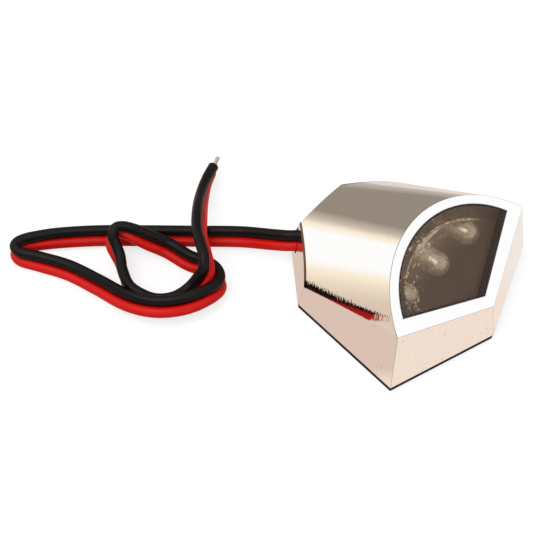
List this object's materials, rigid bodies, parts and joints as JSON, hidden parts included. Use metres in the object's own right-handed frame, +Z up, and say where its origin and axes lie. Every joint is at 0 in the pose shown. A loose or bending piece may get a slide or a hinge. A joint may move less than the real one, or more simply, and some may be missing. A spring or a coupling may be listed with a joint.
{
  "type": "number plate lamp",
  "caption": "Small chrome number plate lamp with a rounded hood, a fan-shaped smoked window over clear LEDs, a foam-padded base and a thin black and red twin cable with bare ends.",
  "frame": {"origin": "centre of the rectangle round the foam pad, on the pad's lower face; the free cable is not counted", "axes": "+Z up out of the mounting face, the window looks towards -Y and upwards, the cable leaves the left rear corner towards -X and +Y"},
  "size_m": [0.0429, 0.056, 0.0138],
  "materials": {
    "chrome_housing": "polished",
    "smoked_lens": "polished",
    "black_seal": "matte",
    "bright_reflector": "satin",
    "board": "satin",
    "clear_led": "polished",
    "tinned_metal": "satin",
    "solder": "satin",
    "chip_body": "matte",
    "black_plate": "matte",
    "screw_steel": "satin",
    "foam": "matte",
    "insert_brass": "satin",
    "black_rubber": "matte",
    "black_sleeve": "satin",
    "red_sleeve": "satin"
  },
  "bodies": {
    "root": {"housing": "chrome_housing", "lens": "smoked_lens", "lens_seal": "black_seal", "reflector": "bright_reflector", "circuit_board": "board", "led_left": "clear_led", "led_middle": "clear_led", "led_right": "clear_led", "led_leads": "tinned_metal", "solder_joints": "solder", "resistors": "chip_body", "diode": "chip_body", "cable_joints": "solder", "base_plate": "black_plate", "base_screws": "screw_steel", "foam_pad": "foam", "thread_inserts": "insert_brass", "cable_grommet": "black_rubber", "cable_clamp": "black_plate", "clamp_screw": "screw_steel", "cable_core_black": "black_sleeve", "cable_core_red": "red_sleeve", "strand_black": "tinned_metal", "strand_red": "tinned_metal"}
  },
  "joints": []
}
